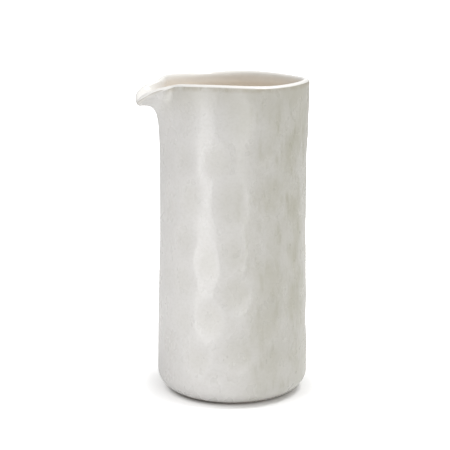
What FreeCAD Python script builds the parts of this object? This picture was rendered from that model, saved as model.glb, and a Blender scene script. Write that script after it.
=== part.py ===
import FreeCAD, Part
import math
import os

# A hand-thrown stoneware pouring vessel: an open cylinder with a pulled lip, soft finger
# presses over its wall, a satin glaze outside and a glossy glaze inside.
# Millimetres. +Z is up, Z = 0 is the table, and the Z axis is the axis the pot was thrown on.
# The pouring lip points along -X. Angles run round the axis from the lip, towards -Y first.

# Outside of the thrown wall
rim_height = 217.0
belly_radius = 52.3
belly_height = 22.0
waist_draw = 1.9
waist_height = 134.0
mouth_flare = 1.0
mouth_height = 207.0
wall = 4.7
glaze = 0.35

# Heel and foot
heel_width = 16.7
heel_height = 14.1
glaze_line_height = 1.2
foot_radius = 38.3
foot_ring_width = 5.0
recess_depth = 1.7
recess_slope = 1.0
floor_thickness = 6.0
inner_heel_width = 14.0
inner_heel_height = 14.0

# Pouring lip: reach is how far the crest goes out past the rim, drop is how far it sinks. The
# spreads are the half widths of the pull and of the dip, and a higher power has a crisper edge.
# Towards its root the pull is wider and softer, so that it leaves no crease beside the lip.
lip_bend_height = 78.0
lip_reach = 16.4
lip_drop = 12.1
lip_tip_arm = 14.3
lip_tip_lean = math.radians(90.9)
lip_spread = math.radians(15.0)
lip_spread_power = 3.4
lip_root_power = 2.3
lip_root_widening_share = 1.0
lip_dip_spread = math.radians(11.7)
lip_dip_power = 1.55
lip_rise_share = 0.96
plain_rise_share = 1 / 3

# The rim is not quite level: a slight wave round it
rim_wave = 0.5
rim_wave_count = 4
rim_wave_turn = math.radians(-122.0)

# How far round the crest the outer glaze goes on before the liner glaze starts
glaze_join_turn = math.radians(22.0)

# Finger presses. Each row: turn from the lip in degrees, height as a share of the rim height,
# half width in degrees, half height as a share of the rim height, depth as a share of press_depth.
# The edge power softens a bowl's rim, and the merge power softens the ridge between two bowls.
press_depth = 1.2
press_edge_power = 1.4
press_merge_power = 4.0
front_press_shares = [
    (75, 0.905, 17, 0.087, 1.00),
    (106, 0.915, 14, 0.070, 0.70),
    (36, 0.900, 14, 0.081, 0.50),
    (60, 0.771, 14, 0.070, 0.95),
    (96, 0.798, 9, 0.044, 0.60),
    (118, 0.800, 14, 0.070, 0.70),
    (32, 0.775, 13, 0.072, 0.60),
    (11, 0.770, 15, 0.074, 0.45),
    (70, 0.645, 15, 0.100, 1.00),
    (100, 0.671, 14, 0.086, 0.95),
    (39, 0.655, 14, 0.081, 0.70),
    (17, 0.620, 14, 0.081, 0.45),
    (122, 0.650, 13, 0.081, 0.60),
    (71, 0.492, 12, 0.077, 0.85),
    (109, 0.540, 14, 0.081, 0.70),
    (33, 0.525, 12, 0.070, 0.65),
    (53, 0.459, 12, 0.079, 0.85),
    (95, 0.440, 14, 0.070, 0.75),
    (128, 0.466, 13, 0.070, 0.60),
    (32, 0.395, 14, 0.077, 0.60),
    (12, 0.400, 15, 0.079, 0.45),
    (73, 0.365, 15, 0.072, 0.95),
    (125, 0.335, 14, 0.072, 0.65),
    (55, 0.281, 14, 0.073, 1.00),
    (100, 0.272, 14, 0.081, 0.90),
    (33, 0.270, 13, 0.070, 0.55),
    (75, 0.177, 16, 0.074, 0.95),
    (46, 0.145, 14, 0.064, 0.80),
    (108, 0.150, 15, 0.074, 0.70),
    (58, 0.100, 9, 0.035, 0.45),
    (18, 0.180, 15, 0.077, 0.50),
]
# The side away from the viewer: staggered rows with a steady drift, so no two rows line up
back_press_rows = 7
back_presses_per_row = 8
back_first_turn = 142.0
back_turn_step = 26.0
back_first_height_share = 0.115
back_height_step_share = 0.128
back_half_turn = 14.0
back_half_height_share = 0.076
back_wander_turn = 4.0
back_wander_share = 0.014
back_column_phase = 2.4
back_row_phase = 1.7
back_height_beat = 1.3
back_shallowest_share = 0.25
back_deepest_share = 0.5
press_fade_start_share = 0.93
press_fade_end_share = 0.985

# How finely the skins are laid out: counts of poles, and the step that directions are taken over
columns = 96
column_crowding_share = 0.5
heel_steps = 5
wall_steps = 30
lip_steps = 23
shoulder_steps = 2
crest_steps = 7
inner_heel_steps = 6
normal_step = 0.001

floor_height = recess_depth + floor_thickness
bend_start = rim_height - lip_bend_height
heel_contact_radius = belly_radius - heel_width
waist_radius = belly_radius - waist_draw
mouth_radius = waist_radius + mouth_flare


def ease(value, start, end, low, high):
    """Go smoothly from low to high as value goes from start to end."""
    share = min(max((value - start) / (end - start), 0.0), 1.0)
    return low + (high - low) * share * share * (3 - 2 * share)


def outside_radius(height):
    """Radius of the glazed outside before the presses: full belly, slim waist, slight flare."""
    if height < waist_height:
        return ease(height, belly_height, waist_height, belly_radius, waist_radius)
    return ease(height, waist_height, mouth_height, waist_radius, mouth_radius)


def back_presses():
    """Presses on the side the viewer does not see."""
    presses = []
    for row in range(back_press_rows):
        for column in range(back_presses_per_row):
            phase = back_column_phase * column + back_row_phase * row
            turn = back_first_turn + back_turn_step * (column + 0.5 * (row % 2))
            turn += back_wander_turn * math.sin(phase)
            height = back_first_height_share + back_height_step_share * row
            height += back_wander_share * math.cos(back_height_beat * phase)
            depth_range = back_deepest_share - back_shallowest_share
            depth = back_shallowest_share + depth_range * math.sin(phase) ** 2
            presses.append((turn, height, back_half_turn, back_half_height_share, depth))
    return presses


def all_presses():
    """Every press as turn, height, half width and half height, depth, in radians and lengths."""
    presses = []
    for turn, height, half_turn, half_height, depth in front_press_shares + back_presses():
        presses.append((math.radians(turn), height * rim_height, math.radians(half_turn),
                        half_height * rim_height, depth * press_depth))
    return presses


presses = all_presses()


def turn_between(angle, other):
    """The shorter way round from one angle to another."""
    return (angle - other + math.pi) % (2 * math.pi) - math.pi


def pressed_in(angle, height):
    """How deep the wall is pressed in at a place. Bowls that meet leave a soft ridge."""
    sunk = 0.0
    for turn, middle, half_turn, half_height, depth in presses:
        across = turn_between(angle, turn) / half_turn
        along = (height - middle) / half_height
        inside = max(1 - across * across - along * along, 0.0)
        sunk += (depth * inside ** press_edge_power) ** press_merge_power
    fade = ease(height, press_fade_start_share * rim_height,
                press_fade_end_share * rim_height, 1.0, 0.0)
    return sunk ** (1 / press_merge_power) * fade


def at(angle, radius, height):
    """A point from its turn round the axis, its radius and its height."""
    return FreeCAD.Vector(-radius * math.cos(angle), -radius * math.sin(angle), height)


def wall_middle(angle, rise):
    """Middle of the wall in the lip zone: rise 0 is where the bend starts, 1 is the crest."""
    near_root = (1 - rise * rise) ** 2
    half_width = lip_spread * (1 + lip_root_widening_share * near_root)
    edge_power = lip_spread_power + (lip_root_power - lip_spread_power) * near_root
    spread = math.exp(-abs(angle / half_width) ** edge_power)
    dip = math.exp(-abs(angle / lip_dip_spread) ** lip_dip_power)
    half = wall / 2
    start_radius = outside_radius(bend_start) - half
    end_radius = outside_radius(rim_height) - half + lip_reach * spread
    end_height = rim_height - half - lip_drop * dip
    end_height += rim_wave * math.cos(rim_wave_count * (angle - rim_wave_turn))
    climb = end_height - bend_start
    lean = lip_tip_lean * spread
    first_arm = climb * (plain_rise_share + (lip_rise_share - plain_rise_share) * spread)
    last_arm = climb * plain_rise_share * (1 - spread) + lip_tip_arm * spread
    radii = (start_radius, start_radius, end_radius - last_arm * math.sin(lean), end_radius)
    heights = (bend_start, bend_start + first_arm, end_height - last_arm * math.cos(lean), end_height)
    rest = 1 - rise
    weights = (rest ** 3, 3 * rest * rest * rise, 3 * rest * rise * rise, rise ** 3)
    radius = sum(w * r for w, r in zip(weights, radii))
    height = sum(w * h for w, h in zip(weights, heights))
    return at(angle, radius, height)


def wall_directions(angle, rise):
    """Unit directions at a place in the lip zone: outwards, and up past the edge."""
    low, high = max(rise - normal_step, 0.0), min(rise + normal_step, 1.0)
    along = wall_middle(angle, high) - wall_middle(angle, low)
    around = wall_middle(angle + normal_step, rise) - wall_middle(angle - normal_step, rise)
    outwards = around.cross(along).normalize()
    past_edge = outwards.cross(around).normalize()
    return outwards, past_edge


def crest_point(angle, swing, depth):
    """A point of the round crest: swing 0 is its outer side, half a turn is its inner side."""
    outwards, past_edge = wall_directions(angle, 1.0)
    across = outwards * math.cos(swing) + past_edge * math.sin(swing)
    return wall_middle(angle, 1.0) + across * (wall / 2 - depth)


def outer_point(angle, station, depth):
    """A point of the outside, at a depth below the glazed surface."""
    if station <= heel_steps:
        width, drop = heel_width - depth, heel_height - depth
        line = math.asin((heel_height - glaze_line_height) / drop)
        swing = line * (1 - station / heel_steps)
        return at(angle, heel_contact_radius + width * math.cos(swing),
                  heel_height - drop * math.sin(swing))
    station -= heel_steps
    if station <= wall_steps:
        height = heel_height + (bend_start - heel_height) * station / wall_steps
        return at(angle, outside_radius(height) - depth - pressed_in(angle, height), height)
    station -= wall_steps
    if station <= lip_steps:
        rise = station / lip_steps
        middle = wall_middle(angle, rise)
        outwards = wall_directions(angle, rise)[0]
        return middle + outwards * (wall / 2 - depth - pressed_in(angle, middle.z))
    return crest_point(angle, glaze_join_turn * (station - lip_steps) / shoulder_steps, depth)


def inner_point(angle, station, depth):
    """A point of the crest and the inside, at a depth below the glazed surface."""
    if station <= crest_steps:
        swing = glaze_join_turn + (math.pi - glaze_join_turn) * station / crest_steps
        return crest_point(angle, swing, depth)
    station -= crest_steps
    if station <= lip_steps:
        rise = 1 - station / lip_steps
        inwards = wall_directions(angle, rise)[0] * (depth - wall / 2)
        return wall_middle(angle, rise) + inwards
    station -= lip_steps
    heel_top = floor_height + inner_heel_height
    if station <= wall_steps:
        height = bend_start - (bend_start - heel_top) * station / wall_steps
        return at(angle, outside_radius(height) - wall + depth, height)
    swing = math.pi / 2 * (station - wall_steps) / inner_heel_steps
    width, drop = inner_heel_width + depth, inner_heel_height + depth
    corner_radius = outside_radius(heel_top) - wall - inner_heel_width
    return at(angle, corner_radius + width * math.cos(swing), heel_top - drop * math.sin(swing))


def column_angles():
    """Angles round the axis, closer together at the pouring lip."""
    angles = []
    for column in range(columns):
        even = 2 * math.pi * column / columns
        angles.append(even - column_crowding_share * math.sin(even))
    return [turn_between(angle, 0.0) for angle in angles]


def stations(steps):
    """Stations along a profile, closer at both ends as a clamped curve wants them."""
    inner = [float(step) for step in range(1, steps)]
    return [0.0, 1 / 3] + inner + [steps - 1 / 3, float(steps)]


def rows_of(point, steps, depth):
    """Rows of poles of one skin, from a point function."""
    angles = column_angles()
    return [[point(angle, station, depth) for angle in angles] for station in stations(steps)]


def round_row(radius, height):
    """One row of poles on a level circle."""
    return [at(angle, radius, height) for angle in column_angles()]


def skin(rows):
    """A smooth face through rows of poles, closed round the axis."""
    degree = min(3, len(rows) - 1)
    spans = len(rows) - degree
    surface = Part.BSplineSurface()
    surface.buildFromPolesMultsKnots(
        rows,
        [degree + 1] + [1] * (spans - 1) + [degree + 1],
        [1] * (columns + 1),
        [float(knot) for knot in range(spans + 1)],
        [float(knot) for knot in range(columns + 1)],
        False, True, degree, 3)
    return surface.toShape()


def edge_of(row):
    """The closed curve that a skin ends on."""
    curve = Part.BSplineCurve()
    curve.buildFromPolesMultsKnots(row, [1] * (columns + 1),
                                   [float(knot) for knot in range(columns + 1)], True, 3)
    return Part.Wire([curve.toShape()])


def level_face(outer_row, inner_row=None):
    """A flat face inside one row, or between two."""
    face = Part.Face(edge_of(outer_row))
    if inner_row is None:
        return face
    return face.cut(Part.Face(edge_of(inner_row))).Faces[0]


def closed_solid(faces):
    """Join faces that meet edge to edge into one solid."""
    shell = Part.makeShell(faces)
    shell.sewShape()
    solid = Part.Solid(shell.Shells[0])
    if solid.Volume < 0:
        solid.reverse()
    return solid


outer_steps = heel_steps + wall_steps + lip_steps + shoulder_steps
inner_steps = crest_steps + lip_steps + wall_steps + inner_heel_steps


def make_outer_glaze():
    """The satin coat outside, from the glaze line at the foot to the join on the crest."""
    front = rows_of(outer_point, outer_steps, 0.0)
    back = rows_of(outer_point, outer_steps, glaze)
    return closed_solid([skin(front), skin(back),
                         skin([front[0], back[0]]), skin([front[-1], back[-1]])])


def make_liner_glaze():
    """The glossy coat over the crest, down the inside and across the floor."""
    front = rows_of(inner_point, inner_steps, 0.0)
    back = rows_of(inner_point, inner_steps, glaze)
    return closed_solid([skin(front), skin(back), skin([front[0], back[0]]),
                         level_face(front[-1]), level_face(back[-1])])


def make_stoneware_body():
    """The fired clay: wall, crest, lip, floor and the bare foot ring round its recess."""
    outside = rows_of(outer_point, outer_steps, glaze)
    inside = rows_of(inner_point, inner_steps, glaze)
    foot_outer = round_row(foot_radius, 0.0)
    foot_inner = round_row(foot_radius - foot_ring_width, 0.0)
    recess = round_row(foot_radius - foot_ring_width - recess_slope, recess_depth)
    return closed_solid([skin(outside), skin(inside), level_face(inside[-1]),
                         skin([outside[0], foot_outer]), level_face(foot_outer, foot_inner),
                         skin([foot_inner, recess]), level_face(recess)])


def main():
    os.makedirs("parts", exist_ok=True)
    parts = {
        "stoneware_body": make_stoneware_body(),
        "outer_glaze": make_outer_glaze(),
        "liner_glaze": make_liner_glaze(),
    }
    for name, solid in parts.items():
        print(name, "valid", solid.isValid(), "volume mm3", round(solid.Volume, 1))
        solid.exportStep(os.path.join("parts", name + ".step"))


main()
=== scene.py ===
# %% [markdown]
# # A hand-thrown stoneware pouring jug
# This lesson models one real object: a tall jug, thrown on a wheel, with a pulled pouring lip,
# soft finger presses in its wall, a satin glaze outside and a glossy glaze inside.
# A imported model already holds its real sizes. Each piece made here takes the place of one of its
# parts, at the same size and in the same place, and adds the looks: finer form and real glazes.

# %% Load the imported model
import math
import bpy
import numpy as np
from mathutils import Matrix, Vector


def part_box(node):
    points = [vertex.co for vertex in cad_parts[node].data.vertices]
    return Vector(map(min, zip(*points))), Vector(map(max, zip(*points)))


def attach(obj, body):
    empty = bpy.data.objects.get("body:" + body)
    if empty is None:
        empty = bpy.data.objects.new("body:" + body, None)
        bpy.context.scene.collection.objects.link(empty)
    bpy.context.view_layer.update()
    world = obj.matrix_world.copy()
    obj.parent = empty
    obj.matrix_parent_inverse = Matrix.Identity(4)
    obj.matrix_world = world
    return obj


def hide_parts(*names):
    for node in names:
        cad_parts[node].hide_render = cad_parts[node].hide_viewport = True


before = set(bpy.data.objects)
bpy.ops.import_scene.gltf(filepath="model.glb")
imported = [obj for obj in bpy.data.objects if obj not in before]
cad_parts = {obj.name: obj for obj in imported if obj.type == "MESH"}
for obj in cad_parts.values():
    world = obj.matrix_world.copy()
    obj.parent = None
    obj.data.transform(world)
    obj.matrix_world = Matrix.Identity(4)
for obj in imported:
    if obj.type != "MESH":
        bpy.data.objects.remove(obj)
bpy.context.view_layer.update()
print("packed parts:", sorted(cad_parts))

# %% [markdown]
# ## The sizes of the pot
# A potter describes a cylinder by a few sizes: belly, waist, mouth, heel and wall. The same sizes
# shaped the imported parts, so they are repeated here, in metres. The Z axis is the axis of the
# wheel, and the lip points along -X.

# %% Sizes of the wall, the foot and the lip
MM = 0.001

rim_height = 217.0 * MM
belly_radius = 52.3 * MM
belly_height = 22.0 * MM
waist_draw = 1.9 * MM
waist_radius = belly_radius - waist_draw
waist_height = 134.0 * MM
mouth_flare = 1.0 * MM
mouth_radius = waist_radius + mouth_flare
mouth_height = 207.0 * MM
wall = 4.7 * MM
glaze = 0.35 * MM

heel_width = 16.7 * MM
heel_height = 14.1 * MM
glaze_line_height = 1.2 * MM
foot_radius = 38.3 * MM
foot_ring_width = 5.0 * MM
foot_edge_width = 0.5 * MM
recess_depth = 1.7 * MM
recess_slope = 1.0 * MM
floor_thickness = 6.0 * MM
inner_heel_width = 14.0 * MM
inner_heel_height = 14.0 * MM

lip_bend_height = 78.0 * MM
lip_reach = 16.4 * MM
lip_drop = 12.1 * MM
lip_tip_arm = 14.3 * MM
lip_tip_lean = math.radians(90.9)
lip_spread = math.radians(15.0)
lip_spread_power = 3.4
lip_root_power = 2.3
lip_root_widening_share = 1.0
lip_dip_spread = math.radians(11.7)
lip_dip_power = 1.55
lip_rise_share = 0.96
plain_rise_share = 1 / 3
rim_wave = 0.5 * MM
rim_wave_count = 4
rim_wave_turn = math.radians(-122.0)
glaze_join_turn = math.radians(22.0)

floor_height = recess_depth + floor_thickness
bend_start = rim_height - lip_bend_height
heel_contact_radius = belly_radius - heel_width
half_wall = wall / 2

low_corner, high_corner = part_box("stoneware_body")
print("packed body is", round((high_corner.z - low_corner.z) / MM, 1), "mm tall")

# %% [markdown]
# ## The line that the wall follows
# Any thrown form is a profile turned round the wheel's axis. This one has a full belly, a slim
# waist and a slightly flared mouth. The lip is the exception: near it the profile leans out and
# sinks a little, so the profile here depends on the angle round the pot, counted from the lip.
# A potter pulls the lip from its root, far below the rim, where the pull is wider and softer, and
# so no crease stays beside it. Each function takes arrays of angles, so a whole ring of points is
# worked out at once.

# %% Functions for the profile
def ease(value, start, end, low, high):
    """Go smoothly from low to high as value goes from start to end."""
    share = np.clip((value - start) / (end - start), 0.0, 1.0)
    return low + (high - low) * share * share * (3 - 2 * share)


def outside_radius(height):
    """Radius of the glazed outside before the presses."""
    drawn_in = ease(height, belly_height, waist_height, belly_radius, waist_radius)
    return drawn_in + ease(height, waist_height, mouth_height, 0.0, mouth_radius - waist_radius)


def at(angle, radius, height):
    """Points from their turn round the axis, their radius and their height."""
    angle = np.asarray(angle, float)
    radius, height = radius + 0 * angle, height + 0 * angle
    return np.stack([-radius * np.cos(angle), -radius * np.sin(angle), height], axis=-1)


def wall_middle(angle, rise):
    """Middle of the wall near the rim: rise 0 is where the lip's bend starts, 1 is the crest."""
    near_root = (1 - rise * rise) ** 2
    half_width = lip_spread * (1 + lip_root_widening_share * near_root)
    edge_power = lip_spread_power + (lip_root_power - lip_spread_power) * near_root
    spread = np.exp(-np.abs(angle / half_width) ** edge_power)
    dip = np.exp(-np.abs(angle / lip_dip_spread) ** lip_dip_power)
    start_radius = outside_radius(bend_start) - half_wall
    end_radius = outside_radius(rim_height) - half_wall + lip_reach * spread
    end_height = rim_height - half_wall - lip_drop * dip
    end_height = end_height + rim_wave * np.cos(rim_wave_count * (angle - rim_wave_turn))
    climb = end_height - bend_start
    lean = lip_tip_lean * spread
    first_arm = climb * (plain_rise_share + (lip_rise_share - plain_rise_share) * spread)
    last_arm = climb * plain_rise_share * (1 - spread) + lip_tip_arm * spread
    rest = 1 - rise
    weights = (rest ** 3, 3 * rest ** 2 * rise, 3 * rest * rise ** 2, rise ** 3)
    radii = (start_radius, start_radius, end_radius - last_arm * np.sin(lean), end_radius)
    heights = (bend_start, bend_start + first_arm, end_height - last_arm * np.cos(lean), end_height)
    radius = sum(w * r for w, r in zip(weights, radii))
    height = sum(w * h for w, h in zip(weights, heights))
    return at(angle, radius, height)


def unit(vectors):
    """Vectors of length one."""
    return vectors / np.linalg.norm(vectors, axis=-1, keepdims=True)


def wall_directions(angle, rise, step=0.001):
    """Unit directions near the rim: outwards, and up past the edge."""
    along = wall_middle(angle, min(rise + step, 1.0)) - wall_middle(angle, max(rise - step, 0.0))
    around = wall_middle(angle + step, rise) - wall_middle(angle - step, rise)
    outwards = unit(np.cross(around, along))
    return outwards, unit(np.cross(outwards, around))


print("belly is", round(2 * float(outside_radius(belly_height)) / MM, 1), "mm across")

# %% [markdown]
# ## Rings
# A ring is a loop of points at one station of the profile. The outside has rings for the heel, the
# wall, the lip zone and the shoulder of the crest. The inside has rings for the crest, the lip
# zone, the wall, the inner heel and the floor. Depth moves a ring below the glazed surface, so
# the same functions also give the clay under the glaze.

# %% Functions for the rings
def plain_ring(radius, height):
    """A level circle."""
    return lambda angle: at(angle, radius, height)


def heel_ring(share, depth):
    """Round heel: share 0 is the glaze line, 1 is where the wall starts."""
    width, drop = heel_width - depth, heel_height - depth
    swing = math.asin((heel_height - glaze_line_height) / drop) * (1 - share)
    return plain_ring(heel_contact_radius + width * math.cos(swing),
                      heel_height - drop * math.sin(swing))


def wall_ring(share, depth):
    """Wall outside: share 0 is the heel, 1 is where the lip's bend starts."""
    height = heel_height + (bend_start - heel_height) * share
    return plain_ring(outside_radius(height) - depth, height)


def lip_ring(rise, depth):
    """Lip zone outside, at a rise from 0 to 1."""
    def ring(angle):
        return wall_middle(angle, rise) + wall_directions(angle, rise)[0] * (half_wall - depth)
    return ring


def crest_ring(swing, depth):
    """Round crest: swing 0 is its outer side, half a turn is its inner side."""
    def ring(angle):
        outwards, past_edge = wall_directions(angle, 1.0)
        across = outwards * math.cos(swing) + past_edge * math.sin(swing)
        return wall_middle(angle, 1.0) + across * (half_wall - depth)
    return ring


def inner_lip_ring(rise, depth):
    """Lip zone inside, at a rise from 0 to 1."""
    def ring(angle):
        return wall_middle(angle, rise) - wall_directions(angle, rise)[0] * (half_wall - depth)
    return ring


inner_heel_top = floor_height + inner_heel_height


def inner_wall_ring(share, depth):
    """Wall inside: share 0 is where the lip's bend starts, 1 is the inner heel."""
    height = bend_start - (bend_start - inner_heel_top) * share
    return plain_ring(outside_radius(height) - wall + depth, height)


def inner_heel_ring(share, depth):
    """Round inner heel: share 0 is the wall, 1 is the floor."""
    swing = math.pi / 2 * share
    corner_radius = outside_radius(inner_heel_top) - wall - inner_heel_width
    return plain_ring(corner_radius + (inner_heel_width + depth) * math.cos(swing),
                      inner_heel_top - (inner_heel_height + depth) * math.sin(swing))


def shares(count, first=1):
    """Even shares up to 1, from the first step on."""
    return [step / count for step in range(first, count + 1)]


heel_steps, wall_steps, lip_steps, shoulder_steps = 8, 46, 26, 2
crest_steps, inner_wall_steps, inner_heel_steps = 8, 20, 7
floor_radius_shares = (0.8, 0.55, 0.3, 0.1)
recess_radius_shares = (0.1, 0.4, 0.7, 0.95, 1.0)


def outside_rings(depth):
    """Rings from the glaze line up to the join of the two glazes on the crest."""
    rings = [heel_ring(share, depth) for share in shares(heel_steps, 0)]
    rings += [wall_ring(share, depth) for share in shares(wall_steps)]
    rings += [lip_ring(rise, depth) for rise in shares(lip_steps)]
    rings += [crest_ring(share * glaze_join_turn, depth) for share in shares(shoulder_steps)]
    return rings


def inside_rings(depth):
    """Rings from the join on the crest, over it, down the inside and across the floor."""
    over = math.pi - glaze_join_turn
    rings = [crest_ring(glaze_join_turn + share * over, depth) for share in shares(crest_steps, 0)]
    rings += [inner_lip_ring(1 - share, depth) for share in shares(lip_steps)]
    rings += [inner_wall_ring(share, depth) for share in shares(inner_wall_steps)]
    rings += [inner_heel_ring(share, depth) for share in shares(inner_heel_steps)]
    floor_radius = outside_radius(inner_heel_top) - wall - inner_heel_width
    rings += [plain_ring(floor_radius * share, floor_height - depth) for share in floor_radius_shares]
    return rings


print(len(outside_rings(0)), "rings outside and", len(inside_rings(0)), "inside")

# %% [markdown]
# ## Throwing a form
# A wall could be turned with the spin operator or a Screw modifier, but both turn one finished
# profile, and this one changes near the lip. On the wheel the wall is pulled up from a ring of
# clay, and the same way works here: start with a circle, extrude its edge up, resize the new ring,
# and repeat. After that the lip is pulled: every vertex knows its ring and its turn, so it moves to
# where the profile for that turn lies. Proportional editing would pull it too, but only by eye.
# The columns of points stand closer together at the lip, where the form changes fastest.

# %% Helpers that throw a form
columns = 128
lip_crowding_share = 0.45


def deselect_all():
    """Leave nothing selected and nothing in edit mode."""
    if bpy.context.object and bpy.context.object.mode == "EDIT":
        bpy.ops.object.mode_set(mode="OBJECT")
    bpy.ops.object.select_all(action="DESELECT")


def select_only(piece):
    """Select one piece alone and make it the active one."""
    deselect_all()
    bpy.context.view_layer.objects.active = piece
    piece.select_set(True)


def points_of(piece):
    """Places of all vertices of a piece, as rows of x, y and z."""
    points = np.empty(len(piece.data.vertices) * 3)
    piece.data.vertices.foreach_get("co", points)
    return points.reshape(-1, 3)


def store(piece, name, values):
    """Store one number on each vertex, for the materials to read."""
    stored = piece.data.attributes.new(name, "FLOAT", "POINT")
    stored.data.foreach_set("value", values.ravel().astype(np.float32))


def size_of(ring):
    """Radius and height of a ring at the back of the pot, away from the lip."""
    x, _, z = ring(np.array([math.pi]))[0]
    return float(x), float(z)


def throw(name, rings):
    """Pull a wall up through rings, starting from a circle."""
    deselect_all()
    radius, height = size_of(rings[0])
    bpy.ops.mesh.primitive_circle_add(vertices=columns, radius=radius, location=(0, 0, height))
    piece = bpy.context.object
    piece.name = piece.data.name = name
    bpy.ops.object.transform_apply(location=True, rotation=False, scale=False)
    bpy.ops.object.mode_set(mode="EDIT")
    bpy.ops.mesh.select_all(action="SELECT")
    for ring in rings[1:]:
        next_radius, next_height = size_of(ring)
        lift = {"value": (0, 0, next_height - height)}
        bpy.ops.mesh.extrude_edges_move(TRANSFORM_OT_translate=lift)
        factor = next_radius / radius
        bpy.ops.transform.resize(value=(factor, factor, 1), center_override=(0, 0, next_height))
        radius, height = next_radius, next_height
    bpy.ops.object.mode_set(mode="OBJECT")
    return piece


def pull_lip(piece, rings, edge_ring):
    """Move every vertex to its place on the profile for its own turn round the pot.

    Also store how far each vertex lies from one ring, the edge of the glaze, along the wall.
    """
    points = points_of(piece).reshape(len(rings), columns, 3)
    even = np.arctan2(-points[..., 1], -points[..., 0])
    turn = even - lip_crowding_share * np.sin(even)
    for index, ring in enumerate(rings):
        points[index] = ring(turn[index])
    piece.data.vertices.foreach_set("co", points.ravel())
    steps = np.linalg.norm(np.diff(points, axis=0), axis=-1)
    along = np.concatenate([np.zeros((1, columns)), np.cumsum(steps, axis=0)])
    store(piece, "from_edge", np.abs(along - along[edge_ring]))
    piece.data.update()


def close_pole(piece, ring_index):
    """Merge one end ring into a single point on the axis."""
    select_only(piece)
    for vertex in piece.data.vertices:
        vertex.select = vertex.index // columns == ring_index
    for edge in piece.data.edges:
        edge.select = all(piece.data.vertices[i].select for i in edge.vertices)
    bpy.ops.object.mode_set(mode="EDIT")
    bpy.ops.mesh.merge(type="CENTER")
    bpy.ops.object.mode_set(mode="OBJECT")


def apply_modifier(piece, kind, **settings):
    """Add one modifier with its settings and apply it."""
    select_only(piece)
    modifier = piece.modifiers.new(kind.title(), kind)
    for key, value in settings.items():
        setattr(modifier, key, value)
    bpy.ops.object.modifier_apply(modifier=modifier.name)


def face_outwards(piece):
    """Turn all faces of a closed form outwards."""
    select_only(piece)
    bpy.ops.object.mode_set(mode="EDIT")
    bpy.ops.mesh.select_all(action="SELECT")
    bpy.ops.mesh.normals_make_consistent(inside=False)
    bpy.ops.object.mode_set(mode="OBJECT")


# %% [markdown]
# ## Finger presses
# While the clay is still soft the maker presses the wall in with a finger, again and again. Each
# press leaves a shallow oval bowl, and where two bowls meet a soft ridge stays. Sculpting would do,
# but not twice the same, and a bump map leaves the outline straight. Here the bowls are painted as
# weights, and a Displace modifier pushes the wall in by that weight. The presses in the picture
# are listed one by one, and those on the far side come from a few numbers. All fade out below the
# rim. Turns are in degrees from the lip, heights are shares of the rim's height, and depths are
# shares of the deepest press.

# %% Where the presses are
press_depth = 1.2 * MM
press_edge_power = 1.4
press_merge_power = 4.0
# Each press: turn, height above the table, half its width as a turn, half its own height, depth.
front_press_shares = [
    (75, 0.905, 17, 0.087, 1.00),
    (106, 0.915, 14, 0.070, 0.70),
    (36, 0.900, 14, 0.081, 0.50),
    (60, 0.771, 14, 0.070, 0.95),
    (96, 0.798, 9, 0.044, 0.60),
    (118, 0.800, 14, 0.070, 0.70),
    (32, 0.775, 13, 0.072, 0.60),
    (11, 0.770, 15, 0.074, 0.45),
    (70, 0.645, 15, 0.100, 1.00),
    (100, 0.671, 14, 0.086, 0.95),
    (39, 0.655, 14, 0.081, 0.70),
    (17, 0.620, 14, 0.081, 0.45),
    (122, 0.650, 13, 0.081, 0.60),
    (71, 0.492, 12, 0.077, 0.85),
    (109, 0.540, 14, 0.081, 0.70),
    (33, 0.525, 12, 0.070, 0.65),
    (53, 0.459, 12, 0.079, 0.85),
    (95, 0.440, 14, 0.070, 0.75),
    (128, 0.466, 13, 0.070, 0.60),
    (32, 0.395, 14, 0.077, 0.60),
    (12, 0.400, 15, 0.079, 0.45),
    (73, 0.365, 15, 0.072, 0.95),
    (125, 0.335, 14, 0.072, 0.65),
    (55, 0.281, 14, 0.073, 1.00),
    (100, 0.272, 14, 0.081, 0.90),
    (33, 0.270, 13, 0.070, 0.55),
    (75, 0.177, 16, 0.074, 0.95),
    (46, 0.145, 14, 0.064, 0.80),
    (108, 0.150, 15, 0.074, 0.70),
    (58, 0.100, 9, 0.035, 0.45),
    (18, 0.180, 15, 0.077, 0.50),
]
back_press_rows = 7
back_presses_per_row = 8
back_first_turn = 142.0
back_turn_step = 26.0
back_stagger_share = 0.5
back_first_height_share = 0.115
back_height_step_share = 0.128
back_half_turn = 14.0
back_half_height_share = 0.076
back_wander_turn = 4.0
back_wander_share = 0.014
back_column_phase = 2.4
back_row_phase = 1.7
back_height_beat = 1.3
back_shallowest_share = 0.25
back_deepest_share = 0.5
press_fade_start_share = 0.93
press_fade_end_share = 0.985


def back_presses():
    """Presses on the far side: staggered rows with a steady drift, so no two rows line up."""
    presses = []
    for row in range(back_press_rows):
        for column in range(back_presses_per_row):
            phase = back_column_phase * column + back_row_phase * row
            turn = back_first_turn + back_turn_step * (column + back_stagger_share * (row % 2))
            turn += back_wander_turn * math.sin(phase)
            height = back_first_height_share + back_height_step_share * row
            height += back_wander_share * math.cos(back_height_beat * phase)
            depth_range = back_deepest_share - back_shallowest_share
            depth = back_shallowest_share + depth_range * math.sin(phase) ** 2
            presses.append((turn, height, back_half_turn, back_half_height_share, depth))
    return presses


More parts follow.
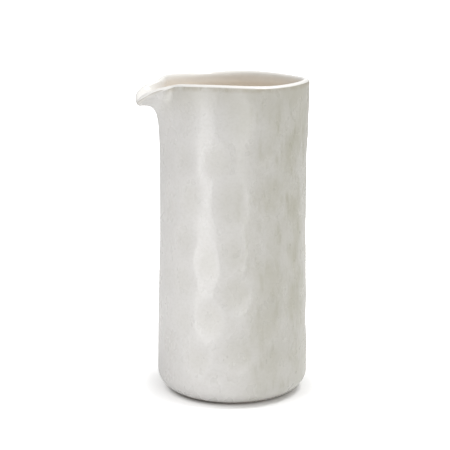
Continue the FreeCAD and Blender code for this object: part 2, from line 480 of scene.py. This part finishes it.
def pressed_in(angle, height):
    """How deep the wall is pressed in, as a share of the deepest press."""
    sunk = np.zeros_like(angle)
    for turn, middle, half_turn, half_height, depth in front_press_shares + back_presses():
        apart = (angle - math.radians(turn) + math.pi) % (2 * math.pi) - math.pi
        across = apart / math.radians(half_turn)
        along = (height / rim_height - middle) / half_height
        inside = np.maximum(1 - across ** 2 - along ** 2, 0.0)
        sunk += (depth * inside ** press_edge_power) ** press_merge_power
    deepest = sunk ** (1 / press_merge_power)
    return deepest * ease(height / rim_height, press_fade_start_share, press_fade_end_share, 1.0, 0.0)


def press_fingers(piece):
    """Paint the presses as weights on the outside of a piece and push it in by them."""
    x, y, z = points_of(piece).T
    weights = pressed_in(np.arctan2(-y, -x), z)
    outside = np.hypot(x, y) > outside_radius(z) - half_wall
    weights = np.where(outside & (z > glaze_line_height), weights, 0.0)
    group = piece.vertex_groups.new(name="presses")
    for index in np.nonzero(weights > 0)[0]:
        group.add([int(index)], float(weights[index]), "REPLACE")
    store(piece, "hollow", weights)
    apply_modifier(piece, "DISPLACE", direction="NORMAL", mid_level=0.0,
                   strength=-press_depth, vertex_group="presses")
    piece.vertex_groups.clear()
    print(piece.name, "is pressed in by up to", round(float(weights.max()) * press_depth / MM, 2), "mm")


def finish_piece(piece, node, material):
    """Smooth shading, a material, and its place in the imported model."""
    select_only(piece)
    bpy.ops.object.shade_smooth()
    piece.data.materials.clear()
    piece.data.materials.append(material)
    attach(piece, "root")
    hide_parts(node)
    print(piece.name, "has", len(piece.data.vertices), "vertices")


# %% [markdown]
# ## Ways to build a glaze
# A glaze could be one flat colour, or a photo wrapped round the pot. A flat colour looks like
# plastic, and a photo shows its light painted in. Here each finish is built from noise that lives
# in the space of the pot itself, so it has no seam and keeps its look from every side. The plain
# numbers in a remap of a noise say which part of its range, from 0 to 1, counts.

# %% Helpers for materials
def srgb(red, green, blue):
    """A colour as seen on screen, 0 to 255, in the linear values that shaders take."""
    def linear(value):
        value = value / 255
        return value / 12.92 if value <= 0.04045 else ((value + 0.055) / 1.055) ** 2.4
    return (linear(red), linear(green), linear(blue), 1.0)


def new_material(name):
    """A node material: returns it with its node tree and its shader."""
    material = bpy.data.materials.new(name)
    material.use_nodes = True
    return material, material.node_tree, material.node_tree.nodes["Principled BSDF"]


def add(tree, kind, inputs, **settings):
    """Add a shader node. Inputs are values or sockets to wire in."""
    node = tree.nodes.new("ShaderNode" + kind)
    for key, value in settings.items():
        setattr(node, key, value)
    for key, value in inputs.items():
        if isinstance(value, bpy.types.NodeSocket):
            tree.links.new(value, node.inputs[key])
        else:
            node.inputs[key].default_value = value
    return node


def pot_space(tree, stretch=1.0):
    """Coordinates in metres from the middle of the foot. A stretch draws patterns out upwards."""
    coordinates = add(tree, "TexCoord", {})
    scale = (1.0, 1.0, 1.0 / stretch)
    return add(tree, "Mapping", {"Vector": coordinates.outputs["Object"], "Scale": scale}).outputs[0]


def cloudy(tree, size, detail=3.0, roughness=0.55, stretch=1.0):
    """Soft noise from 0 to 1 with patches of about one size."""
    inputs = {"Vector": pot_space(tree, stretch), "Scale": 1 / size,
              "Detail": detail, "Roughness": roughness}
    return add(tree, "TexNoise", inputs).outputs[0]


def remap(tree, value, start, end, low=0.0, high=1.0):
    """Go smoothly from low to high as a value goes from start to end."""
    inputs = {"Value": value, "From Min": start, "From Max": end, "To Min": low, "To Max": high}
    return add(tree, "MapRange", inputs, interpolation_type="SMOOTHSTEP").outputs[0]


def combine(tree, operation, first, second):
    """One step of arithmetic with two numbers."""
    return add(tree, "Math", {0: first, 1: second}, operation=operation).outputs[0]


def times(tree, first, second):
    """One number multiplied by another."""
    return combine(tree, "MULTIPLY", first, second)


def plus(tree, first, second):
    """One number added to another."""
    return combine(tree, "ADD", first, second)


def reach_along(tree, place, direction):
    """How far a place lies in one direction."""
    return add(tree, "VectorMath", {0: place, 1: direction}, operation="DOT_PRODUCT").outputs["Value"]


def blend(tree, share, below, above):
    """Cover a colour with another by a share."""
    return add(tree, "Mix", {0: share, 6: below, 7: above}, data_type="RGBA").outputs[2]


def painted(tree, name):
    """A number that was stored on the vertices of the piece."""
    return add(tree, "Attribute", {}, attribute_name=name).outputs["Fac"]


def height_in_pot(tree):
    """Height above the table, in metres."""
    return add(tree, "SeparateXYZ", {"Vector": pot_space(tree)}).outputs["Z"]


def towards_lip(tree):
    """Distance from the wheel's axis along X, in metres: below zero on the side of the lip."""
    return add(tree, "SeparateXYZ", {"Vector": pot_space(tree)}).outputs["X"]


def dress(tree, shader, colour, roughness, relief, strength, distance):
    """Wire a colour, a roughness and a relief into a shader."""
    bump = add(tree, "Bump", {"Height": relief, "Strength": strength, "Distance": distance})
    tree.links.new(colour, shader.inputs["Base Color"])
    tree.links.new(roughness, shader.inputs["Roughness"])
    tree.links.new(bump.outputs[0], shader.inputs["Normal"])


def seen(tree):
    """1 for the camera, a reflection or a look through glass, 0 for the light that it gives."""
    ray = add(tree, "LightPath", {}).outputs
    mirrored = combine(tree, "MAXIMUM", ray["Is Glossy Ray"], ray["Is Transmission Ray"])
    return combine(tree, "MAXIMUM", ray["Is Camera Ray"], mirrored)


def on_camera(tree):
    """1 where the camera looks straight at it, otherwise 0."""
    return add(tree, "LightPath", {}).outputs["Is Camera Ray"]


def off_camera(tree):
    """0 where the camera looks straight at it, otherwise 1."""
    return combine(tree, "SUBTRACT", 1.0, on_camera(tree))


# %% [markdown]
# ## The satin glaze
# A satin glaze like this is soft to the touch: nearly white where it is thin, sage to olive where
# it lies thick. It ran down a little before it froze, so its streaks are upright. It is thicker on
# one side and in the hollows, thin on the ridges between them, and it broke to a brown line just
# under the rim and at the foot. Fine specks make it look dry rather than wet. Each of these is one
# layer below, from the base colour up.

# %% Satin glaze
thin_satin = srgb(220, 218, 215)
sage_satin = srgb(190, 188, 174)
olive_satin = srgb(157, 155, 128)
under_rim = srgb(194, 191, 179)
rim_break = srgb(170, 160, 138)
foot_break = srgb(150, 137, 120)
matt_speck = srgb(172, 169, 157)
patch_size = 15 * MM
streak_size = 4.5 * MM
speck_size = 2.0 * MM
break_size = 7 * MM
dent_size = 9 * MM

thick_side_turn = math.radians(150.0)
thin_until = -8 * MM
thick_from = 52 * MM
thick_side_share = 1.15
thin_at_height = 5 * MM
full_at_height = 40 * MM
thin_below_share = 0.75
sage_on_side_share = 0.45
sage_in_patches_share = 0.4
sage_in_hollows_share = 0.2
hollow_start_share, hollow_full_share = 0.1, 0.9
olive_in_streaks_share = 0.28
speck_share = 0.12

lip_outer_x = -56 * MM
lip_inner_x = -50 * MM
rim_shade_start = 3 * MM
rim_shade_end = 24 * MM
rim_shade_share = 0.55
rim_shade_least_share = 0.5
rim_break_start = 1.0 * MM
rim_break_end = 4.0 * MM
rim_break_share = 0.5
foot_break_start = 1.4 * MM
foot_break_end = 3.2 * MM
foot_break_share = 0.85

satin_shine = 0.9
satin_smooth, satin_rough = 0.26, 0.33
speck_relief_share = 0.15
satin_relief = 0.2 * MM
satin_relief_share = 0.2

satin, tree, shader = new_material("satin_outer_glaze")
hollow = painted(tree, "hollow")
from_edge = painted(tree, "from_edge")
clouds = cloudy(tree, patch_size, detail=5.0, roughness=0.6, stretch=1.8)
streaks = cloudy(tree, streak_size, stretch=3.0)
specks = cloudy(tree, speck_size, detail=2.0, roughness=0.5)

side = (-math.cos(thick_side_turn), -math.sin(thick_side_turn), 0.0)
towards_side = reach_along(tree, pot_space(tree), side)
thick_side = remap(tree, towards_side, thin_until, thick_from, 0.0, thick_side_share)
thinner_below = remap(tree, height_in_pot(tree), thin_at_height, full_at_height, thin_below_share, 1.0)
thick_side = times(tree, thick_side, thinner_below)
pooled = times(tree, remap(tree, clouds, 0.34, 0.70), thick_side)
in_hollows = remap(tree, hollow, hollow_start_share, hollow_full_share)
in_hollows = times(tree, in_hollows, sage_in_hollows_share)
sage_share = plus(tree, times(tree, thick_side, sage_on_side_share), in_hollows)
sage_share = plus(tree, sage_share, times(tree, pooled, sage_in_patches_share))
colour = blend(tree, combine(tree, "MINIMUM", sage_share, 1.0), thin_satin, sage_satin)

run_down = times(tree, remap(tree, streaks, 0.5, 0.72), thick_side)
colour = blend(tree, times(tree, run_down, olive_in_streaks_share), colour, olive_satin)
colour = blend(tree, times(tree, remap(tree, specks, 0.4, 0.7), speck_share), colour, matt_speck)

rim_shade = remap(tree, from_edge, rim_shade_start, rim_shade_end, rim_shade_share, 0.0)
rim_shade = times(tree, rim_shade, remap(tree, clouds, 0.2, 0.6, rim_shade_least_share, 1.0))
off_the_lip = remap(tree, towards_lip(tree), lip_outer_x, lip_inner_x)
colour = blend(tree, times(tree, rim_shade, off_the_lip), colour, under_rim)
near_rim = remap(tree, from_edge, rim_break_start, rim_break_end, rim_break_share, 0.0)
near_rim = times(tree, near_rim, off_the_lip)
break_patches = remap(tree, cloudy(tree, break_size, detail=5.0), 0.3, 0.65)
broken = times(tree, near_rim, break_patches)
colour = blend(tree, broken, colour, rim_break)
near_foot = remap(tree, height_in_pot(tree), foot_break_start, foot_break_end, foot_break_share, 0.0)
colour = blend(tree, near_foot, colour, foot_break)
shader.inputs["Specular IOR Level"].default_value = satin_shine

dents = cloudy(tree, dent_size, detail=2.0, roughness=0.5, stretch=1.4)
roughness = remap(tree, dents, 0.3, 0.7, satin_smooth, satin_rough)
relief = plus(tree, times(tree, specks, speck_relief_share), dents)
dress(tree, shader, colour, roughness, relief, satin_relief_share, satin_relief)
print("satin glaze has", len(tree.nodes), "nodes")

# %% [markdown]
# ## The glossy liner
# Inside, the pot wears a clear glaze over a pale slip: warm white, wet-looking and easy to wash.
# It is whitest on the crest and the lip, and creamier and a little darker further down, where the
# darker tone is painted shade. Faint rings of the potter's fingers show through it. A ring is a
# band of height, so a Wave texture along Z makes them, with a little noise so that no ring is
# perfect. On the lip the satin glaze laps round the outer side of the crest, and where the crest
# turns from up to out a thin dark line is painted at the edge of the lap: a painted shadow. The
# crest is part of this piece, so the lap is painted on it, wherever the crest faces down or out
# and not up. At the tip the line lies a little lower.

# %% Glossy liner glaze
crest_white = srgb(250, 248, 244)
# Warm cream further down inside, a little darker there as painted shade.
warm_cream_with_shade = srgb(249, 239, 224)
ring_shade = srgb(220, 204, 183)
satin_overlap = srgb(221, 218, 212)
# Painted shadow: a thin dark line where the crest turns from up to out.
painted_crest_shadow = srgb(186, 178, 166)

uneven_size = 20 * MM
ring_spacing = 5 * MM
wave_length_at_scale_one = 0.32
white_from_edge = 4 * MM
cream_from_edge = 16 * MM
white_lip_x = -58 * MM
cream_lip_x = -34 * MM
ring_strength = 0.4

tip_start_x = -57 * MM
tip_end_x = -66 * MM
tip_lowering = 0.5
lap_start_x = -52 * MM
lap_full_x = -56 * MM
lap_end_from_edge = 5.0 * MM
lap_full_from_edge = 4.0 * MM
lap_end_facing_up, lap_full_facing_up = 0.48, 0.30
# Where the painted shadow line lies, by how much the crest faces up, and how strong it is.
shadow_line_lower_side = (0.22, 0.36)
shadow_line_upper_side = (0.52, 0.38)
painted_shadow_share = 0.7

gloss_smooth, gloss_rough = 0.15, 0.22
gloss_relief = 0.4 * MM
gloss_relief_share = 0.12

gloss, tree, shader = new_material("gloss_liner_glaze")
from_edge = painted(tree, "from_edge")
uneven = cloudy(tree, uneven_size, roughness=0.6)
ring_inputs = {"Vector": pot_space(tree), "Scale": wave_length_at_scale_one / ring_spacing,
               "Distortion": 1.2, "Detail": 3.0, "Detail Scale": 0.4}
finger_rings = add(tree, "TexWave", ring_inputs, bands_direction="Z").outputs["Fac"]
# Whitest on the crest and the lip, creamier and darker further down; the darker part is painted shade.
deep_cream_and_shade = remap(tree, from_edge, white_from_edge, cream_from_edge)
deep_cream_and_shade = times(tree, deep_cream_and_shade, remap(tree, towards_lip(tree), white_lip_x, cream_lip_x))
colour = blend(tree, deep_cream_and_shade, crest_white, warm_cream_with_shade)
ring_share = times(tree, times(tree, finger_rings, deep_cream_and_shade), ring_strength)
colour = blend(tree, times(tree, ring_share, uneven), colour, ring_shade)

surface = add(tree, "NewGeometry", {}).outputs["Normal"]
facing_up = add(tree, "SeparateXYZ", {"Vector": surface}).outputs["Z"]
lower_at_tip = remap(tree, towards_lip(tree), tip_start_x, tip_end_x, 0.0, tip_lowering)
facing_up = plus(tree, facing_up, lower_at_tip)
on_lip = remap(tree, towards_lip(tree), lap_start_x, lap_full_x)
near_join = remap(tree, from_edge, lap_end_from_edge, lap_full_from_edge)
outer_crest = times(tree, near_join, on_lip)
overlap = remap(tree, facing_up, lap_end_facing_up, lap_full_facing_up)
overlap = times(tree, overlap, outer_crest)
colour = blend(tree, overlap, colour, satin_overlap)
# Paint a thin shadow line at the edge of the lap, where the crest turns from up to out.
painted_shadow_line = remap(tree, facing_up, *shadow_line_lower_side)
painted_shadow_line = times(tree, painted_shadow_line, remap(tree, facing_up, *shadow_line_upper_side))
painted_shadow_line = times(tree, times(tree, painted_shadow_line, outer_crest), painted_shadow_share)
colour = blend(tree, painted_shadow_line, colour, painted_crest_shadow)

roughness = remap(tree, uneven, 0.3, 0.7, gloss_smooth, gloss_rough)
dress(tree, shader, colour, roughness, finger_rings, gloss_relief_share, gloss_relief)
print("liner glaze has", len(tree.nodes), "nodes")

# %% [markdown]
# ## The bare clay
# Only the foot ring and the recess show the clay. Fired stoneware is matt and buff to brown, with
# grog: small hard grains that the sponge left standing. A Voronoi texture gives the grains, one at
# the middle of each cell, and noise under it gives the uneven blush of the kiln.

# %% Bare fired clay
buff_clay = srgb(168, 150, 130)
toasted_clay = srgb(138, 117, 97)
grog_grain = srgb(196, 184, 165)

blush_size = 12 * MM
grog_size = 1.1 * MM
grog_patch_size = 3 * MM
grit_size = 0.6 * MM
grog_share = 0.7
clay_smooth, clay_rough = 0.8, 0.92
clay_relief = 0.15 * MM
clay_relief_share = 0.5

clay, tree, shader = new_material("bare_fired_clay")
blush = cloudy(tree, blush_size, detail=4.0, roughness=0.6)
colour = blend(tree, remap(tree, blush, 0.35, 0.65), buff_clay, toasted_clay)
cells = add(tree, "TexVoronoi", {"Vector": pot_space(tree), "Scale": 1 / grog_size})
grains = remap(tree, cells.outputs["Distance"], 0.3, 0.12)
in_patches = remap(tree, cloudy(tree, grog_patch_size), 0.5, 0.62)
grain_share = times(tree, times(tree, grains, in_patches), grog_share)
colour = blend(tree, grain_share, colour, grog_grain)

roughness = remap(tree, blush, 0.3, 0.7, clay_smooth, clay_rough)
relief = plus(tree, grains, cloudy(tree, grit_size))
dress(tree, shader, colour, roughness, relief, clay_relief_share, clay_relief)
print("bare clay has", len(tree.nodes), "nodes")

# %% [markdown]
# ## The satin coat outside
# On the real pot this is a skin of glass a third of a millimetre thick, from a line just above the
# table to the crest of the rim. It could be a thin copy of the body, pushed outwards, but then the
# presses would be made twice and might not match. It is thrown as a surface of its own instead,
# refined once so that the presses come out smooth, pressed, and then given its thickness inwards.

# %% The satin coat outside
rings = outside_rings(0.0)
satin_coat = throw("satin_coat", rings)
pull_lip(satin_coat, rings, len(rings) - 1)
apply_modifier(satin_coat, "SUBSURF", levels=1, render_levels=1)
press_fingers(satin_coat)
apply_modifier(satin_coat, "SOLIDIFY", thickness=glaze, offset=-1.0)
finish_piece(satin_coat, "outer_glaze", satin)

# %% [markdown]
# ## The glossy coat inside
# The liner covers the crest, the inside of the wall and the floor, where it is closed in the
# middle. A lathe-like spin would give all but the lip, so it is thrown and pulled in the same way
# as the outside, and the two coats meet exactly, in one line on the crest.

# %% The glossy coat inside
rings = inside_rings(0.0)
gloss_coat = throw("gloss_coat", rings)
pull_lip(gloss_coat, rings, 0)
close_pole(gloss_coat, len(rings) - 1)
apply_modifier(gloss_coat, "SUBSURF", levels=1, render_levels=1)
apply_modifier(gloss_coat, "SOLIDIFY", thickness=glaze, offset=-1.0)
finish_piece(gloss_coat, "liner_glaze", gloss)

# %% [markdown]
# ## The clay body
# The body is one closed form: recess, foot ring, outside, crest, inside and floor. It lies under
# the coats and shows only at the foot, but it is modelled whole, because it carries the shape and
# is what stands on the table. It could be cut from a solid cylinder, which would leave the lip to
# sculpt. Thrown through the same rings, one glaze thickness deeper, it fits the coats everywhere.

# %% The clay body
foot_inner_radius = foot_radius - foot_ring_width
recess_radius = foot_inner_radius - recess_slope
rings = [plain_ring(recess_radius * share, recess_depth) for share in recess_radius_shares]
rings += [plain_ring(foot_inner_radius, 0.0), plain_ring(foot_inner_radius + foot_edge_width, 0.0)]
rings += [plain_ring(foot_radius - foot_edge_width, 0.0), plain_ring(foot_radius, 0.0)]
rings += outside_rings(glaze) + inside_rings(glaze)[1:]
clay_body = throw("clay_body", rings)
pull_lip(clay_body, rings, 0)
close_pole(clay_body, len(rings) - 1)
close_pole(clay_body, 0)
face_outwards(clay_body)
apply_modifier(clay_body, "SUBSURF", levels=1, render_levels=1)
press_fingers(clay_body)
finish_piece(clay_body, "stoneware_body", clay)

# %% [markdown]
# ## The white studio
# The pot stands on a white table that runs into a white background. A curved backdrop would do
# the same, but a plain plane under a white world is simpler. It is so wide that its far edge lies
# above the picture. The table is a pale matt grey to the light. The camera sees it brighter, but
# less so near the pot: there it keeps the soft shadow and its paint darkens it further, a painted
# shadow, and further away it is as white as the background. At the foot the paint is darkest on
# the left, a painted contact shadow. The high lamp stands on the right and lights the table more
# on that side, so beside the pot the paint is darker there, a painted shade, and the shadow looks
# equally soft on both sides. Each white below is how bright the paint looks to the camera, and
# each reach is counted from the wheel's axis. Left and right are as the camera sees them.
#
# A studio also has two dark cards, one at each side of the pot. They can't be seen in the picture,
# but the glaze mirrors them, and that draws the edges of a pale pot on a pale ground. Real cards
# would shade the table, so here they are two soft dark zones in the world, for reflections only.

# %% The floor and the white studio
view_turn = math.radians(-17.5)
table_width = 16.0
table_grey = (0.8, 0.8, 0.8, 1.0)
foot_left, foot_right = -30 * MM, 30 * MM
# At the foot the paint is darker on the left: a painted contact shadow.
foot_left_white, foot_right_white = 0.6, 1.6
pot_left, pot_right = -25 * MM, 30 * MM
# Beside the pot the paint is darker on the right: painted shade against the high lamp's light.
pot_left_white, pot_right_white = 1.5, 1.05
foot_reach = 40 * MM
pot_reach = 49 * MM
shadow_start_reach = 52 * MM
shadow_end_reach = 100 * MM
clear_white = 3.0
far_start_reach = 150 * MM
far_end_reach = 500 * MM
far_gain = 1.6
mirrored_white = 1.1

bpy.ops.mesh.primitive_plane_add(size=table_width, location=(0, 0, 0))
floor = bpy.context.object
floor.name = "floor"

table, tree, shader = new_material("white_table")
tree.nodes.remove(shader)
reach = add(tree, "VectorMath", {0: pot_space(tree)}, operation="LENGTH").outputs["Value"]
right_side = (math.cos(view_turn), math.sin(view_turn), 0.0)
to_the_right = reach_along(tree, pot_space(tree), right_side)
# Close to the pot the paint is darker than further out, so the shadow there is partly painted.
painted_foot_shadow = remap(tree, to_the_right, foot_left, foot_right, foot_left_white, foot_right_white)
painted_shade_near_pot = remap(tree, to_the_right, pot_left, pot_right, pot_left_white, pot_right_white)
white_share = remap(tree, reach, foot_reach, pot_reach, painted_foot_shadow, painted_shade_near_pot)
white_share = remap(tree, reach, shadow_start_reach, shadow_end_reach, white_share, clear_white)
white_share = times(tree, white_share, remap(tree, reach, far_start_reach, far_end_reach, 1.0, far_gain))
white_share = times(tree, white_share, on_camera(tree))
mirrored_share = times(tree, off_camera(tree), mirrored_white)
seen_table = add(tree, "BsdfDiffuse", {"Color": plus(tree, white_share, mirrored_share)})
lit_table = add(tree, "BsdfDiffuse", {"Color": table_grey})
look = add(tree, "MixShader", {0: seen(tree), 1: lit_table.outputs[0], 2: seen_table.outputs[0]})
tree.links.new(look.outputs[0], tree.nodes["Material Output"].inputs["Surface"])
floor.data.materials.append(table)
print("the table is", round(floor.dimensions.x, 1), "m wide")

# %% The white world and its dark cards
soft_light_level = 0.57
pure_white = (1.0, 1.0, 1.0, 1.0)
card_turn_aside = math.radians(62.0)
right_card_turn = -view_turn + card_turn_aside
left_card_turn = -view_turn - card_turn_aside
right_card_darkness = 0.95
left_card_darkness = 0.4
card_edge_cosine = 0.50
card_middle_cosine = 0.90

world = bpy.data.worlds.new("studio")
bpy.context.scene.world = world
world.use_nodes = True
tree = world.node_tree
soft_light = tree.nodes["Background"]
soft_light.inputs["Color"].default_value = pure_white
soft_light.inputs["Strength"].default_value = soft_light_level
direction = add(tree, "TexCoord", {}).outputs["Generated"]
card_dark = 0.0
for card_turn, darkness in ((right_card_turn, right_card_darkness), (left_card_turn, left_card_darkness)):
    card_side = (math.sin(card_turn), math.cos(card_turn), 0.0)
    towards_card = reach_along(tree, direction, card_side)
    card = remap(tree, towards_card, card_edge_cosine, card_middle_cosine, 0.0, darkness)
    card_dark = plus(tree, card_dark, card)
card_dark = times(tree, card_dark, off_camera(tree))
white_level = combine(tree, "SUBTRACT", 1.0, card_dark)
white = add(tree, "Background", {"Color": pure_white, "Strength": white_level})
look = add(tree, "MixShader", {0: seen(tree), 1: soft_light.outputs[0], 2: white.outputs[0]})
tree.links.new(look.outputs[0], tree.nodes["World Output"].inputs["Surface"])
print("the world has", len(tree.nodes), "nodes")

# %% [markdown]
# ## The camera
# A photo of a pot is taken from a little above with a long lens, so that the mouth shows as a slim
# oval and the sides stay upright. These numbers were found by matching the outline and the mouth
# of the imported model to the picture. Angles are in radians and the lens is in millimetres. The
# camera is first placed as if it stood in front, along -Y, and looked down by the rise. Then it is
# turned about the wheel's axis to the side from which the picture was taken.

# %% Camera
view_rise = 0.2129
view_distance = 943.97 * MM
view_height = 115.45 * MM
view_shift = -5.455 * MM
view_roll = 0.0042
view_lens = 109.36

forward = Vector((0, math.cos(view_rise), -math.sin(view_rise)))
rightward = Vector((1, 0, 0))
upward = Vector((0, math.sin(view_rise), math.cos(view_rise)))
rolled_right = rightward * math.cos(view_roll) + upward * math.sin(view_roll)
rolled_up = upward * math.cos(view_roll) - rightward * math.sin(view_roll)
place = Vector((view_shift, -view_distance * math.cos(view_rise),
                view_height + view_distance * math.sin(view_rise)))
stand = Matrix((rolled_right, rolled_up, -forward)).transposed().to_4x4()
stand.translation = place
camera_data = bpy.data.cameras.new("camera")
camera_data.lens = view_lens
camera = bpy.data.objects.new("camera", camera_data)
bpy.context.scene.collection.objects.link(camera)
camera.matrix_world = Matrix.Rotation(view_turn, 4, "Z") @ stand
bpy.context.scene.camera = camera
print("camera stands", round(camera.location.length, 2), "m from the pot, lens", camera_data.lens, "mm")

# %% [markdown]
# ## The lamps
# Only light that grazes a wall shows how uneven it is. A strip lamp close to the pot gives one
# bright band from top to bottom, and every finger press bends it. A second strip makes the ridges
# next to it catch the light, a broad lamp softens the left side, and a high lamp reaches into the
# mouth. Each is a softbox, an area lamp, because small lamps would leave hard sparks on the glaze.

# %% Light
def softbox(name, turn, rise, distance, size, power, aim_height):
    """A rectangular area lamp that looks at the pot's axis at one height.

    The turn is counted from -Y towards +X. Turn and rise are in degrees, and the power is in watts.
    """
    data = bpy.data.lights.new(name, "AREA")
    data.shape = "RECTANGLE"
    data.size, data.size_y = size
    data.energy = power
    lamp = bpy.data.objects.new(name, data)
    bpy.context.scene.collection.objects.link(lamp)
    turn, rise = math.radians(turn), math.radians(rise)
    away = Vector((math.sin(turn) * math.cos(rise), -math.cos(turn) * math.cos(rise), math.sin(rise)))
    target = Vector((0, 0, aim_height))
    lamp.location = target + away * distance
    lamp.rotation_euler = (-away).to_track_quat("-Z", "Y").to_euler()
    print(name, "lamp:", power, "W")


softbox("strip", turn=-58.5, rise=0, distance=0.3, size=(0.16, 0.19), power=0.17, aim_height=0.095)
softbox("broad", turn=-77.5, rise=10, distance=1.2, size=(0.4, 0.8), power=0.5, aim_height=0.1)
softbox("second_strip", turn=-7.5, rise=0, distance=0.5, size=(0.08, 0.30), power=0.18, aim_height=0.15)
softbox("high", turn=67.5, rise=62, distance=1.0, size=(0.35, 0.35), power=5.5, aim_height=0.2)

bpy.context.scene.view_settings.view_transform = "Standard"
